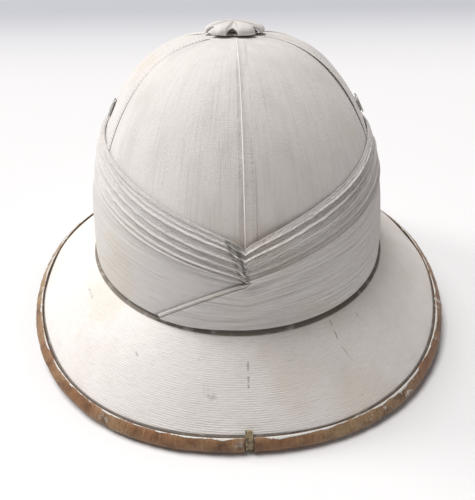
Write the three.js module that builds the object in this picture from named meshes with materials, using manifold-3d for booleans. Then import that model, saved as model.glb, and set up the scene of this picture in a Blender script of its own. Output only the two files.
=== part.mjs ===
// A cloth-covered sun helmet with a deep sloping brim, a pleated wrap round the crown, a leather
// edge binding and a domed ventilator button. Millimetres, +Z up, the front of the helmet faces -Y.
// An azimuth is measured round the crown's axis: 0 at the front, 90 degrees at +X.
import * as THREE from "three";
import { mergeVertices } from "three/addons/utils/BufferGeometryUtils.js";
import Module from "manifold-3d";

const wasm = await Module();
wasm.setup();

const DEGREE = Math.PI / 180;
const GAP = 0.3; // clearance between pieces that touch

// Crown: the cork dome under the cloth, at its base and at its top.
const CROWN_HALF_WIDTH = 100.5;
const CROWN_FRONT_LENGTH = 120.5;
const CROWN_BACK_LENGTH = 121.5;
const CROWN_TOP_HEIGHT = 170;
const CROWN_BASE_FRONT_HEIGHT = 45;
const CROWN_BASE_SIDE_HEIGHT = 42;
const CROWN_BASE_BACK_HEIGHT = 49;
const CROWN_WALL = 6;
const CROWN_SKIRT = 5; // how far the dome reaches down inside the brim
const DOME_HEIGHT_POWER = 1.7;
const DOME_WIDTH_POWER = 2.95;
const PLAN_POWER = 2;

// Brim: a sloping apron, longest at the back, whose edge lifts at the sides.
const BRIM_HALF_WIDTH = 145.5;
const BRIM_FRONT_REACH = 159.5;
const BRIM_BACK_REACH = 180;
const BRIM_FRONT_PLAN_POWER = 2.24;
const BRIM_BACK_PLAN_POWER = 2.1;
const BRIM_SIDE_LIFT = 12;
const BRIM_WALL = 4.4;
const BRIM_DROOP = 0.22; // share of the drop that is left to the outer part

// Leather binding folded over the brim's edge, with a short open joint at the front.
const BINDING_LEATHER = 1.3;
const BINDING_ARM = 6.5;
const BINDING_JOINT_WIDTH = 5;
const BINDING_REST_FLAT = 0.5; // worn flat where the helmet rests
const TAB_WIDTH = 4;
const TAB_THICKNESS = 1;
const TAB_LENGTH = 9;

// Seam welts: the felled seams between the six cloth panels.
const PANEL_COUNT = 6;
const WELT_WIDTH = 6;
const WELT_THICKNESS = 1;
const WELT_FOOT_LIFT = 3.2; // from the top of the wrap to the end of the welt

// The wrap: plain lower bands that cross at front and back, and a bundle of pleats above them.
const WRAP_CLOTH = 1.6;
const WRAP_TOP_FRONT_HEIGHT = 90.5;
const WRAP_TOP_SIDE_HEIGHT = 122;
const WRAP_TOP_POWER = 0.72;
const PLEATS_LOW_FRONT_HEIGHT = 74;
const PLEATS_LOW_SIDE_HEIGHT = 97;
const PLEATS_LOW_POWER = 0.8;
const PLEAT_COUNT = 5;
const PLEAT_RELIEF = 1.6;
const PLEAT_DROP_SHARE = 0.22; // share of a pleat's width taken by its steep lower side
const CROSSING_START = -25; // azimuth where the upper band's end meets the brim, in degrees
const CROSSING_POWER = 0.9;
const CROSSING_TUCK = 6; // azimuth by which the lower band runs on under the upper one
const CROSSING_FADE = 14; // azimuth over which the upper band sinks back onto the crown

// Ventilator: a domed button with arched air gaps, screwed into a flanged collet.
const VENT_HOLE_RADIUS = 9;
const CAP_RADIUS = 17.6;
const CAP_HEIGHT = 6;
const CAP_WALL = 1.6;
const CAP_LIFT = 0.6; // air gap under the button's rim
const CAP_ARCH_COUNT = 6;
const CAP_ARCH_RADIUS = 3.6;
const CAP_ARCH_TURN = -7; // azimuth of the first arch
const CAP_CENTRE_BACK = 2; // the dome's top lies this far behind the crown's axis
const POST_RADIUS = 6;
const COLLET_WALL = 2;
const COLLET_FLANGE_RADIUS = 14;
const COLLET_FLANGE_THICKNESS = 1.2;

// Side eyelets above the wrap.
const EYELET_AZIMUTH = 79;
const EYELET_HEIGHT = 131.5;
const EYELET_HOLE_RADIUS = 4;
const EYELET_WALL = 0.8;
const EYELET_FLANGE_RADIUS = 6.5;
const EYELET_FLANGE_THICKNESS = 1;

const materials = {
  cloth: new THREE.MeshStandardMaterial({ color: 0xe9e6e0, roughness: 0.9, metalness: 0 }),
  wrap: new THREE.MeshStandardMaterial({ color: 0xe4e2df, roughness: 0.85, metalness: 0 }),
  leather: new THREE.MeshStandardMaterial({ color: 0x9c7f63, roughness: 0.6, metalness: 0 }),
  canvas: new THREE.MeshStandardMaterial({ color: 0xb9a47d, roughness: 0.9, metalness: 0 }),
  metal: new THREE.MeshStandardMaterial({ color: 0xb8b6b0, roughness: 0.5, metalness: 0.8 }),
};

// Radius of an oval whose front and back halves have their own lengths.
function ovalRadius(azimuth, halfWidth, front, back, frontPower, backPower) {
  const forward = Math.cos(azimuth);
  const length = forward > 0 ? front : back;
  const power = forward > 0 ? frontPower : backPower;
  const across = (Math.abs(Math.sin(azimuth)) / halfWidth) ** power;
  return (across + (Math.abs(forward) / length) ** power) ** (-1 / power);
}

// A height that runs from a front value through the side value to a back value.
function heightRound(azimuth, front, side, back, power) {
  const end = Math.cos(azimuth) > 0 ? front : back;
  return end + (side - end) * Math.abs(Math.sin(azimuth)) ** power;
}

function crownBaseHeight(azimuth) {
  return heightRound(azimuth, CROWN_BASE_FRONT_HEIGHT, CROWN_BASE_SIDE_HEIGHT, CROWN_BASE_BACK_HEIGHT, 2);
}

function crownBaseRadius(azimuth) {
  return ovalRadius(azimuth, CROWN_HALF_WIDTH, CROWN_FRONT_LENGTH, CROWN_BACK_LENGTH, PLAN_POWER, PLAN_POWER);
}

// The dome as a share of its base radius at a share of its height, and the other way round.
function domeWidthShare(heightShare) {
  const share = Math.min(1, Math.max(0, heightShare));
  return (1 - share ** DOME_HEIGHT_POWER) ** (1 / DOME_WIDTH_POWER);
}
function domeHeightShare(widthShare) {
  return Math.max(0, 1 - widthShare ** DOME_WIDTH_POWER) ** (1 / DOME_HEIGHT_POWER);
}

function around(azimuth, radius, height, shift = 0) {
  return new THREE.Vector3(radius * Math.sin(azimuth), shift - radius * Math.cos(azimuth), height);
}

// The dome's outer face at a share of its base radius.
function domePoint(azimuth, widthShare) {
  const base = crownBaseHeight(azimuth);
  const heightShare = domeHeightShare(widthShare);
  const height = base + (CROWN_TOP_HEIGHT - base) * heightShare;
  return around(azimuth, crownBaseRadius(azimuth) * widthShare, height, CAP_CENTRE_BACK * heightShare);
}

// The dome's outer face at a height, or straight down below its base.
function domePointAtHeight(azimuth, height) {
  const base = crownBaseHeight(azimuth);
  const heightShare = Math.max(0, (height - base) / (CROWN_TOP_HEIGHT - base));
  return around(azimuth, crownBaseRadius(azimuth) * domeWidthShare(heightShare), height, CAP_CENTRE_BACK * heightShare);
}

// The unit normal of a surface of two parameters, turned away from the inside.
function surfaceNormal(surface, u, v, away) {
  const step = 1e-3;
  const alongU = surface(u + step, v).sub(surface(u - step, v));
  const alongV = surface(u, v + step).sub(surface(u, v - step));
  const normal = alongU.cross(alongV).normalize();
  return normal.dot(away(surface(u, v))) < 0 ? normal.negate() : normal;
}

const awayFromAxis = (point) => new THREE.Vector3(point.x, point.y, 0.6 * Math.max(point.z - 60, 5));
const upward = () => new THREE.Vector3(0, 0, 1);

// A closed solid from a grid of rings: each ring is a closed loop of points, joined to the next one.
function loftRings(rings, closed) {
  const size = rings[0].length;
  const positions = rings.flatMap((ring) => ring.flatMap((point) => point.toArray()));
  const index = [];
  const last = closed ? rings.length : rings.length - 1;
  for (let ring = 0; ring < last; ring++) {
    const here = ring * size;
    const there = ((ring + 1) % rings.length) * size;
    for (let k = 0; k < size; k++) {
      const next = (k + 1) % size;
      index.push(here + k, there + k, there + next, here + k, there + next, here + next);
    }
  }
  if (!closed) {
    const start = THREE.ShapeUtils.triangulateShape(flatRing(rings[0]), []);
    const end = THREE.ShapeUtils.triangulateShape(flatRing(rings.at(-1)), []);
    const offset = (rings.length - 1) * size;
    for (const [a, b, c] of start) index.push(a, b, c);
    for (const [a, b, c] of end) index.push(offset + a, offset + c, offset + b);
  }
  const geometry = new THREE.BufferGeometry();
  geometry.setAttribute("position", new THREE.Float32BufferAttribute(positions, 3));
  geometry.setIndex(index);
  return faceOutwards(geometry);
}

// A ring's points in its own plane, so that its cap can be triangulated.
function flatRing(ring) {
  const centre = ring.reduce((sum, point) => sum.add(point), new THREE.Vector3()).divideScalar(ring.length);
  const normal = new THREE.Vector3();
  ring.forEach((point, k) => {
    const next = ring[(k + 1) % ring.length];
    normal.add(point.clone().sub(centre).cross(next.clone().sub(centre)));
  });
  normal.normalize();
  const across = ring[0].clone().sub(centre).projectOnPlane(normal).normalize();
  const along = normal.clone().cross(across);
  return ring.map((point) => {
    const arm = point.clone().sub(centre);
    return new THREE.Vector2(arm.dot(across), arm.dot(along));
  });
}

// Turns every face round if the solid came out inside out.
function faceOutwards(geometry) {
  const position = geometry.attributes.position;
  const index = geometry.index.array;
  const corner = (k) => new THREE.Vector3().fromBufferAttribute(position, index[k]);
  let volume = 0;
  for (let k = 0; k < index.length; k += 3) volume += corner(k).dot(corner(k + 1).cross(corner(k + 2)));
  if (volume < 0) {
    for (let k = 0; k < index.length; k += 3) [index[k + 1], index[k + 2]] = [index[k + 2], index[k + 1]];
  }
  return geometry;
}

const stepsBetween = (low, high, count) =>
  Array.from({ length: count + 1 }, (_, k) => low + ((high - low) * k) / count);

// The brim and its binding share these sections, so that their faces run side by side.
const JOINT_HALF_TURN = BINDING_JOINT_WIDTH / 2 / BRIM_FRONT_REACH;
const EDGE_SECTIONS = stepsBetween(JOINT_HALF_TURN, 2 * Math.PI - JOINT_HALF_TURN, 70);

// A wall on a surface: it reaches from one distance off the surface to another. Each section along u
// is a loop, out along the far side and back along the near side.
function wall({ surface, us, vs, near, far, away, closed = false, backVs = vs }) {
  const offset = (u, v, distance) =>
    surface(u, v).addScaledVector(surfaceNormal(surface, u, v, away), distance(u, v));
  const rings = us.map((u) => [
    ...vs.map((v) => offset(u, v, far)),
    ...backVs.toReversed().map((v) => offset(u, v, near)),
  ]);
  return loftRings(rings, closed);
}

function solidOf(geometry) {
  const bare = geometry.index ? geometry.toNonIndexed() : geometry.clone();
  for (const name of Object.keys(bare.attributes)) if (name !== "position") bare.deleteAttribute(name);
  const merged = mergeVertices(bare, 1e-4);
  return new wasm.Manifold(
    new wasm.Mesh({
      numProp: 3,
      vertProperties: new Float32Array(merged.attributes.position.array),
      triVerts: new Uint32Array(merged.index.array),
    }),
  );
}

function geometryOf(solid) {
  const mesh = solid.getMesh();
  const geometry = new THREE.BufferGeometry();
  geometry.setAttribute("position", new THREE.BufferAttribute(mesh.vertProperties, 3));
  geometry.setIndex(new THREE.BufferAttribute(mesh.triVerts, 1));
  return geometry;
}

const helmet = new THREE.Group();
const fitted = new THREE.Group(); // everything that is set round the crown's axis
helmet.add(fitted);

function addPiece(name, geometry, material) {
  const flat = geometry.toNonIndexed();
  flat.computeVertexNormals();
  const mesh = new THREE.Mesh(flat, material);
  mesh.name = name;
  fitted.add(mesh);
  return mesh;
}

// Closed lathe of a profile given as [radius, height] pairs that runs round its own section.
function lathe(profile, segments) {
  const points = [...profile, profile[0]].map(([radius, height]) => new THREE.Vector2(radius, height));
  return new THREE.LatheGeometry(points, segments).rotateX(Math.PI / 2);
}

// Crown

function crownSurface(azimuth, rise) {
  if (rise < 0) return around(azimuth, crownBaseRadius(azimuth), crownBaseHeight(azimuth) + rise * CROWN_SKIRT);
  const hole = VENT_HOLE_RADIUS / crownBaseRadius(azimuth);
  return domePoint(azimuth, hole + (1 - hole) * Math.cos((rise * Math.PI) / 2));
}

function eyeletPlace(side) {
  const azimuth = side * EYELET_AZIMUTH * DEGREE;
  const surface = (u, v) => domePointAtHeight(u, v);
  return { point: surface(azimuth, EYELET_HEIGHT), normal: surfaceNormal(surface, azimuth, EYELET_HEIGHT, awayFromAxis) };
}

function crown() {
  const sections = stepsBetween(0, 2 * Math.PI, 54).slice(0, -1);
  const rises = [-1, 0, ...stepsBetween(0.1, 1, 11)];
  const outside = (u, v) => crownSurface(u, v);
  const dome = wall({
    surface: outside,
    us: sections,
    vs: rises,
    backVs: [-1, 0, ...stepsBetween(0.15, 1, 6)],
    near: () => -CROWN_WALL,
    far: () => 0,
    away: awayFromAxis,
    closed: true,
  });
  let solid = solidOf(dome);
  for (const side of [-1, 1]) {
    const { point, normal } = eyeletPlace(side);
    const drill = new THREE.CylinderGeometry(
      EYELET_HOLE_RADIUS + EYELET_WALL + GAP,
      EYELET_HOLE_RADIUS + EYELET_WALL + GAP,
      4 * CROWN_WALL,
      16,
    );
    drill.applyQuaternion(new THREE.Quaternion().setFromUnitVectors(new THREE.Vector3(0, 1, 0), normal));
    drill.translate(point.x, point.y, point.z);
    solid = solid.subtract(solidOf(drill));
  }
  return geometryOf(solid);
}

// Brim

function brimEdge(azimuth, inset = 0) {
  return ovalRadius(
    azimuth,
    BRIM_HALF_WIDTH - inset,
    BRIM_FRONT_REACH - inset,
    BRIM_BACK_REACH - inset,
    BRIM_FRONT_PLAN_POWER,
    BRIM_BACK_PLAN_POWER,
  );
}

function brimEdgeHeight(azimuth) {
  return heightRound(azimuth, 0, BRIM_SIDE_LIFT, 0, 4);
}

// The brim's upper face, from the crown (0) to its edge (1).
function brimTop(azimuth, share) {
  const inner = crownBaseRadius(azimuth) + GAP;
  const drop = share * (1 - BRIM_DROOP) + share * share * BRIM_DROOP;
  const base = crownBaseHeight(azimuth);
  return around(
    azimuth,
    inner + (brimEdge(azimuth) - inner) * share,
    base + (brimEdgeHeight(azimuth) - base) * drop,
  );
}

function brim() {
  const sections = [0, ...EDGE_SECTIONS];
  const shares = stepsBetween(0, 1, 5);
  const underShares = stepsBetween(0, 1, 3);
  const rings = sections.map((azimuth) => {
    const top = shares.map((share) => brimTop(azimuth, share));
    const under = underShares.map((share) => {
      const point = brimTop(azimuth, share);
      if (share === 0) return point.setZ(point.z - BRIM_WALL / Math.cos(45 * DEGREE));
      return point.addScaledVector(surfaceNormal(brimTop, azimuth, share, upward), -BRIM_WALL);
    });
    return [...top, ...under.reverse()];
  });
  return loftRings(rings, true);
}

// Binding: a folded strip whose section is set on the middle of the brim's edge.

function edgeFrame(azimuth) {
  const normal = surfaceNormal(brimTop, azimuth, 1, upward);
  const middle = brimTop(azimuth, 1).addScaledVector(normal, -BRIM_WALL / 2);
  const along = brimTop(azimuth + 1e-3, 1).sub(brimTop(azimuth - 1e-3, 1)).normalize();
  const outward = along.clone().cross(normal).normalize();
  if (outward.dot(middle) < 0) outward.negate();
  return { middle, normal, outward };
}

// The folded section: out round the nose, then back round the pocket that holds the edge.
function foldedSection(leather, arm, noseOut) {
  const pocket = BRIM_WALL / 2 + GAP;
  const outer = pocket + leather;
  const nose = stepsBetween(-90, 90, 6).map((angle) => [
    noseOut - outer + outer * Math.cos(angle * DEGREE),
    outer * Math.sin(angle * DEGREE),
  ]);
  return [[-arm, -outer], ...nose, [-arm, outer], [-arm, pocket], [GAP, pocket], [GAP, -pocket], [-arm, -pocket]];
}

function sweepOnEdge(section, azimuths) {
  const rings = azimuths.map((azimuth) => {
    const { middle, normal, outward } = edgeFrame(azimuth);
    return section.map(([out, up]) => middle.clone().addScaledVector(outward, out).addScaledVector(normal, up));
  });
  return loftRings(rings, false);
}

const BINDING_NOSE = GAP + 2 * BINDING_LEATHER;

function binding() {
  const strip = sweepOnEdge(foldedSection(BINDING_LEATHER, BINDING_ARM, BINDING_NOSE), EDGE_SECTIONS);
  strip.computeBoundingBox();
  const lowest = strip.boundingBox.min.z;
  const reach = 4 * BRIM_BACK_REACH;
  const floor = new THREE.BoxGeometry(reach, reach, reach);
  floor.translate(0, 0, lowest + BINDING_REST_FLAT - reach / 2);
  return geometryOf(solidOf(strip).subtract(solidOf(floor)));
}

function jointTab() {
  const half = TAB_WIDTH / 2 / BRIM_FRONT_REACH;
  return sweepOnEdge(
    foldedSection(TAB_THICKNESS, TAB_LENGTH, GAP + TAB_THICKNESS + BINDING_LEATHER / 2),
    stepsBetween(-half, half, 2),
  );
}

// Wrap

function wrapTop(azimuth) {
  return heightRound(azimuth, WRAP_TOP_FRONT_HEIGHT, WRAP_TOP_SIDE_HEIGHT, WRAP_TOP_FRONT_HEIGHT, WRAP_TOP_POWER);
}
function pleatsLow(azimuth) {
  return heightRound(azimuth, PLEATS_LOW_FRONT_HEIGHT, PLEATS_LOW_SIDE_HEIGHT, PLEATS_LOW_FRONT_HEIGHT, PLEATS_LOW_POWER);
}

// The end of the upper band runs down across the crown from the pleats to the brim.
function crossingAzimuth(share) {
  return CROSSING_START * DEGREE * Math.max(0, 1 - share) ** CROSSING_POWER;
}

const smooth = (share) => {
  const held = Math.min(1, Math.max(0, share));
  return held * held * (3 - 2 * held);
};

// The foot of the wrap, clear of the brim's upper face.
function wrapFoot(azimuth) {
  return crownBaseHeight(azimuth) + GAP;
}

// One band starts at its crossing, goes half way round and ends tucked under the other one.
function plainBand(startAzimuth) {
  const surface = (u, share) => {
    const first = crossingAzimuth(share);
    const azimuth = startAzimuth + first + u * (Math.PI + CROSSING_TUCK * DEGREE);
    const foot = wrapFoot(azimuth);
    return domePointAtHeight(azimuth, foot + (pleatsLow(azimuth) - GAP - foot) * share);
  };
  const lift = (u) => {
    const gone = (u * (180 + CROSSING_TUCK) - CROSSING_TUCK - 1) / CROSSING_FADE;
    return (WRAP_CLOTH + GAP) * (1 - smooth(gone));
  };
  return wall({
    surface,
    us: [0, ...stepsBetween(0.02, 0.13, 6), ...stepsBetween(0.16, 1, 26)],
    vs: stepsBetween(0, 1, 5),
    near: (u) => GAP + lift(u),
    far: (u) => GAP + WRAP_CLOTH + lift(u),
    away: awayFromAxis,
  });
}

// Pleats lap like boards: each swells towards its lower edge and drops to the one below.
function pleatRelief(share) {
  const within = (share * PLEAT_COUNT) % 1;
  const fromTop = share >= 1 ? 0 : 1 - within;
  return fromTop < 1 - PLEAT_DROP_SHARE
    ? fromTop / (1 - PLEAT_DROP_SHARE)
    : (1 - fromTop) / PLEAT_DROP_SHARE;
}

function pleatBundle(startAzimuth) {
  const surface = (azimuth, share) => {
    const low = pleatsLow(azimuth);
    return domePointAtHeight(azimuth, low + (wrapTop(azimuth) - low) * share);
  };
  const folds = [];
  for (let pleat = 0; pleat < PLEAT_COUNT; pleat++) folds.push(pleat, pleat + PLEAT_DROP_SHARE);
  folds.push(PLEAT_COUNT);
  const half = GAP / CROWN_FRONT_LENGTH;
  return wall({
    surface,
    us: [half, ...stepsBetween(0.04, Math.PI - 0.04, 30), Math.PI - half].map((turn) => startAzimuth + turn),
    vs: folds.map((fold) => fold / PLEAT_COUNT),
    backVs: [0, 0.5, 1],
    near: () => GAP,
    far: (u, v) => GAP + WRAP_CLOTH + PLEAT_RELIEF * pleatRelief(v),
    away: awayFromAxis,
  });
}

// Seam welts

function weltStrip(azimuth) {
  const top = COLLET_FLANGE_RADIUS + WELT_WIDTH;
  const foot = wrapTop(azimuth) + WELT_FOOT_LIFT;
  const base = crownBaseHeight(azimuth);
  const footShare = domeWidthShare((foot - base) / (CROWN_TOP_HEIGHT - base));
  const topShare = top / crownBaseRadius(azimuth);
  const surface = (run, across) => {
    const share = topShare + (footShare - topShare) * Math.sin((run * Math.PI) / 2);
    const turn = (across * WELT_WIDTH) / (crownBaseRadius(azimuth) * share);
    return domePoint(azimuth + turn, share);
  };
  return wall({
    surface,
    us: stepsBetween(0, 1, 10),
    vs: [0, 1],
    near: () => GAP,
    far: () => GAP + WELT_THICKNESS,
    away: awayFromAxis,
  });
}

// Ventilator

function ventCap() {
  const dome = stepsBetween(0, 90, 6).map((angle) => [
    CAP_RADIUS * Math.cos(angle * DEGREE),
    CAP_HEIGHT * Math.sin(angle * DEGREE),
  ]);
  dome[dome.length - 1][0] = 0;
  const under = CAP_HEIGHT - CAP_WALL;
  const hollow = stepsBetween(60, 0, 4).map((angle) => [
    (CAP_RADIUS - CAP_WALL) * Math.cos(angle * DEGREE),
    under * Math.sin(angle * DEGREE),
  ]);
  const postFoot = -CROWN_WALL - CAP_LIFT - COLLET_FLANGE_THICKNESS;
  const profile = [...dome, [0, postFoot], [POST_RADIUS, postFoot], [POST_RADIUS, under - CAP_WALL / 2], ...hollow];
  const points = profile.map(([radius, height]) => new THREE.Vector2(radius, height));
  points.push(points[0]);
  let solid = solidOf(new THREE.LatheGeometry(points, 24).rotateX(Math.PI / 2));
  for (let k = 0; k < CAP_ARCH_COUNT; k++) {
    const azimuth = CAP_ARCH_TURN * DEGREE + (2 * Math.PI * k) / CAP_ARCH_COUNT;
    const arch = new THREE.CylinderGeometry(CAP_ARCH_RADIUS, CAP_ARCH_RADIUS, CAP_RADIUS - POST_RADIUS, 10);
    arch.translate(0, -(CAP_RADIUS + POST_RADIUS) / 2 - 2 * CAP_WALL, 0);
    arch.rotateZ(azimuth);
    solid = solid.subtract(solidOf(arch));
  }
  return geometryOf(solid);
}

function ventCollet() {
  const inner = POST_RADIUS + GAP;
  const outer = inner + COLLET_WALL;
  const depth = CROWN_WALL;
  return lathe(
    [
      [inner, -depth],
      [outer, -depth],
      [outer, 0],
      [COLLET_FLANGE_RADIUS, 0],
      [COLLET_FLANGE_RADIUS, COLLET_FLANGE_THICKNESS],
      [inner, COLLET_FLANGE_THICKNESS],
    ],
    20,
  );
}

// Eyelet: a flanged tube through the crown's wall.
function eyelet(side) {
  const { point, normal } = eyeletPlace(side);
  const outer = EYELET_HOLE_RADIUS + EYELET_WALL;
  const ring = lathe(
    [
      [EYELET_HOLE_RADIUS, -CROWN_WALL],
      [outer, -CROWN_WALL],
      [outer, GAP],
      [EYELET_FLANGE_RADIUS, GAP],
      [EYELET_FLANGE_RADIUS, GAP + EYELET_FLANGE_THICKNESS],
      [EYELET_HOLE_RADIUS, GAP + EYELET_FLANGE_THICKNESS],
    ],
    16,
  );
  ring.applyQuaternion(new THREE.Quaternion().setFromUnitVectors(new THREE.Vector3(0, 0, 1), normal));
  ring.translate(point.x, point.y, point.z);
  return ring;
}

addPiece("crown", crown(), materials.cloth);
addPiece("brim", brim(), materials.cloth);
addPiece("edge_binding", binding(), materials.leather);
addPiece("binding_joint_tab", jointTab(), materials.canvas);
addPiece("wrap_band_left", plainBand(0), materials.wrap);
addPiece("wrap_band_right", plainBand(Math.PI), materials.wrap);
addPiece("wrap_pleats_left", pleatBundle(0), materials.wrap);
addPiece("wrap_pleats_right", pleatBundle(Math.PI), materials.wrap);
for (let panel = 0; panel < PANEL_COUNT; panel++) {
  addPiece(`seam_welt_${panel + 1}`, weltStrip((2 * Math.PI * panel) / PANEL_COUNT), materials.cloth);
}
const cap = addPiece("vent_cap", ventCap(), materials.cloth);
const collet = addPiece("vent_collet", ventCollet(), materials.metal);
collet.position.set(0, CAP_CENTRE_BACK, CROWN_TOP_HEIGHT + GAP);
cap.position.set(0, CAP_CENTRE_BACK, CROWN_TOP_HEIGHT + GAP + CAP_LIFT);
addPiece("eyelet_left", eyelet(1), materials.metal);
addPiece("eyelet_right", eyelet(-1), materials.metal);

// The origin is the middle of the footprint, on the surface that the helmet rests on.
const extent = new THREE.Box3().setFromObject(fitted, true);
fitted.position.set(-(extent.min.x + extent.max.x) / 2, -(extent.min.y + extent.max.y) / 2, -extent.min.z);

export default helmet;
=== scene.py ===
"""Looks of the cloth-covered sun helmet: crown, brim, leather binding, pleated wrap, seams,
ventilator and eyelets, in metres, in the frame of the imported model."""

import math

import bpy
import numpy as np
from mathutils import Matrix, Vector


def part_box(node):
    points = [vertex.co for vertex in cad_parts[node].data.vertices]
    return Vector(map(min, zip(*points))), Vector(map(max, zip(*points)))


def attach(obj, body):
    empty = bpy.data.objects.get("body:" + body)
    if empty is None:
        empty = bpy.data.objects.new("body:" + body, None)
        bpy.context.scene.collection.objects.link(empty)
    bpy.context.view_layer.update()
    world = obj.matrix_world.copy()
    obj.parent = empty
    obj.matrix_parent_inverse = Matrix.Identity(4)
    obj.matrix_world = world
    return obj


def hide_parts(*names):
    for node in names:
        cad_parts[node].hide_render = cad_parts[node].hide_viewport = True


bl_info = {
    "name": "Sun helmet",
    "version": (1, 0, 0),
    "blender": (4, 5, 0),
    "location": "3D View > Sidebar > Helmet",
    "description": "Builds the cloth, leather and trim of the sun helmet",
    "category": "Object",
}

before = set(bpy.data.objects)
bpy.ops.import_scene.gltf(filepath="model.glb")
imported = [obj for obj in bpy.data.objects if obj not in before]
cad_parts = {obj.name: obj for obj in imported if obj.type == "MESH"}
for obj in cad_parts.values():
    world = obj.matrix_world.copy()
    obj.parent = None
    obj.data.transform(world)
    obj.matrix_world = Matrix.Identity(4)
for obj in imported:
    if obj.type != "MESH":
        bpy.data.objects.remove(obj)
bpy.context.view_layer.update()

# Sizes of the helmet in millimetres, before it is moved onto the surface it rests on.
GAP = 0.3
CROWN = {"half_width": 100.5, "front": 120.5, "back": 121.5, "top": 170.0, "wall": 6.0, "skirt": 5.0}
CROWN_BASE = {"front": 45.0, "side": 42.0, "back": 49.0}
BRIM = {"half_width": 145.5, "front": 159.5, "back": 180.0, "front_power": 2.24, "back_power": 2.1}
BRIM_SIDE_LIFT = 12.0
BRIM_WALL = 4.4
BRIM_DROOP = 0.22
BRIM_SINK = 0.5
DOME_HEIGHT_POWER = 1.7
DOME_WIDTH_POWER = 2.95
WRAP_TOP = {"front": 90.5, "side": 122.0, "power": 0.72}
PLEATS_LOW = {"front": 74.0, "side": 97.0, "power": 0.8}
CAP_CENTRE_BACK = 2.0
CAP = {"radius": 17.6, "height": 6.0, "lift": 0.6, "wall": 1.2}
VENT_HOLE_RADIUS = 9.0
EYELET_ROOM = 1.1
EYELET = {"azimuth": 79.0, "height": 131.5, "hole": 4.0, "flange": 6.5}

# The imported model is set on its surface, so its place comes from the ventilator's box.
CAP_LOW, CAP_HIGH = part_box("vent_cap")
MOVE_Y = (CAP_LOW[1] + CAP_HIGH[1]) / 2 * 1000 - CAP_CENTRE_BACK
MOVE_Z = CAP_HIGH[2] * 1000 - (CROWN["top"] + GAP + CAP["lift"] + CAP["height"])


# Shape of the helmet. Angles are azimuths from the front (-Y) towards +X, in radians.


def oval_radius(azimuth, half_width, front, back, front_power, back_power):
    forward = np.cos(azimuth)
    length = np.where(forward > 0, front, back)
    power = np.where(forward > 0, front_power, back_power)
    across = (np.abs(np.sin(azimuth)) / half_width) ** power
    return (across + (np.abs(forward) / length) ** power) ** (-1 / power)


def height_round(azimuth, front, side, back, power):
    end = np.where(np.cos(azimuth) > 0, front, back)
    return end + (side - end) * np.abs(np.sin(azimuth)) ** power


def crown_base_height(azimuth):
    return height_round(azimuth, CROWN_BASE["front"], CROWN_BASE["side"], CROWN_BASE["back"], 2)


def crown_base_radius(azimuth):
    return oval_radius(azimuth, CROWN["half_width"], CROWN["front"], CROWN["back"], 2, 2)


def dome_width_share(height_share):
    share = np.clip(height_share, 0, 1)
    return (1 - share**DOME_HEIGHT_POWER) ** (1 / DOME_WIDTH_POWER)


def dome_height_share(width_share):
    return np.clip(1 - width_share**DOME_WIDTH_POWER, 0, 1) ** (1 / DOME_HEIGHT_POWER)


def around(azimuth, radius, height, shift=0.0):
    x = radius * np.sin(azimuth)
    y = shift - radius * np.cos(azimuth)
    return np.stack(np.broadcast_arrays(x, y, height), axis=-1)


def dome_point(azimuth, width_share):
    base = crown_base_height(azimuth)
    share = dome_height_share(width_share)
    height = base + (CROWN["top"] - base) * share
    return around(azimuth, crown_base_radius(azimuth) * width_share, height, CAP_CENTRE_BACK * share)


def dome_point_at_height(azimuth, height):
    base = crown_base_height(azimuth)
    share = np.clip((height - base) / (CROWN["top"] - base), 0, 1)
    radius = crown_base_radius(azimuth) * dome_width_share(share)
    return around(azimuth, radius, height, CAP_CENTRE_BACK * share)


def brim_edge(azimuth):
    return oval_radius(
        azimuth, BRIM["half_width"], BRIM["front"], BRIM["back"], BRIM["front_power"], BRIM["back_power"]
    )


def brim_top(azimuth, share):
    inner = crown_base_radius(azimuth) + GAP
    drop = share * (1 - BRIM_DROOP) + share * share * BRIM_DROOP
    base = crown_base_height(azimuth)
    edge_height = height_round(azimuth, 0.0, BRIM_SIDE_LIFT, 0.0, 4)
    return around(azimuth, inner + (brim_edge(azimuth) - inner) * share, base + (edge_height - base) * drop)


def wrap_top(azimuth):
    return height_round(azimuth, WRAP_TOP["front"], WRAP_TOP["side"], WRAP_TOP["front"], WRAP_TOP["power"])


def pleats_low(azimuth):
    low = PLEATS_LOW
    return height_round(azimuth, low["front"], low["side"], low["front"], low["power"])


def smooth(share):
    held = np.clip(share, 0, 1)
    return held * held * (3 - 2 * held)


def faded(share, start, end):
    """1 inside a span of shares and 0 at both of its ends, over the lengths start and end."""
    return smooth(share / start) * smooth((1 - share) / end)


def bell(value, middle, width):
    return np.exp(-(((value - middle) / width) ** 2))


def stations(*runs):
    """Rising values made of runs, each given as its first and last value and its count."""
    parts = [np.linspace(*run)[:-1] for run in runs[:-1]]
    return np.concatenate([*parts, np.linspace(*runs[-1])])


def waves(x, y, seed, count=9, low=1.0, high=4.0):
    """A soft, fixed, uneven height, mostly between -1 and 1."""
    rng = np.random.default_rng(seed)
    total = np.zeros(np.broadcast(x, y).shape)
    for _ in range(count):
        turn = rng.uniform(0, math.tau)
        pitch = rng.uniform(low, high)
        total = total + np.sin((x * math.cos(turn) + y * math.sin(turn)) * pitch + rng.uniform(0, math.tau))
    return total / math.sqrt(count)


# Meshes


def surface_normal(surface, u, v, away):
    step = 1e-3
    along_u = surface(u + step, v) - surface(u - step, v)
    along_v = surface(u, v + step) - surface(u, v - step)
    normal = np.cross(along_u, along_v)
    normal /= np.linalg.norm(normal, axis=-1, keepdims=True)
    side = np.sum(normal * away(surface(u, v)), axis=-1, keepdims=True)
    return np.where(side < 0, -normal, normal)


def away_from_axis(point):
    outward = point.copy()
    outward[..., 2] = 0.6 * np.maximum(point[..., 2] - 60, 5)
    return outward


def upward(point):
    up = np.zeros_like(point)
    up[..., 2] = 1
    return up


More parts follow.
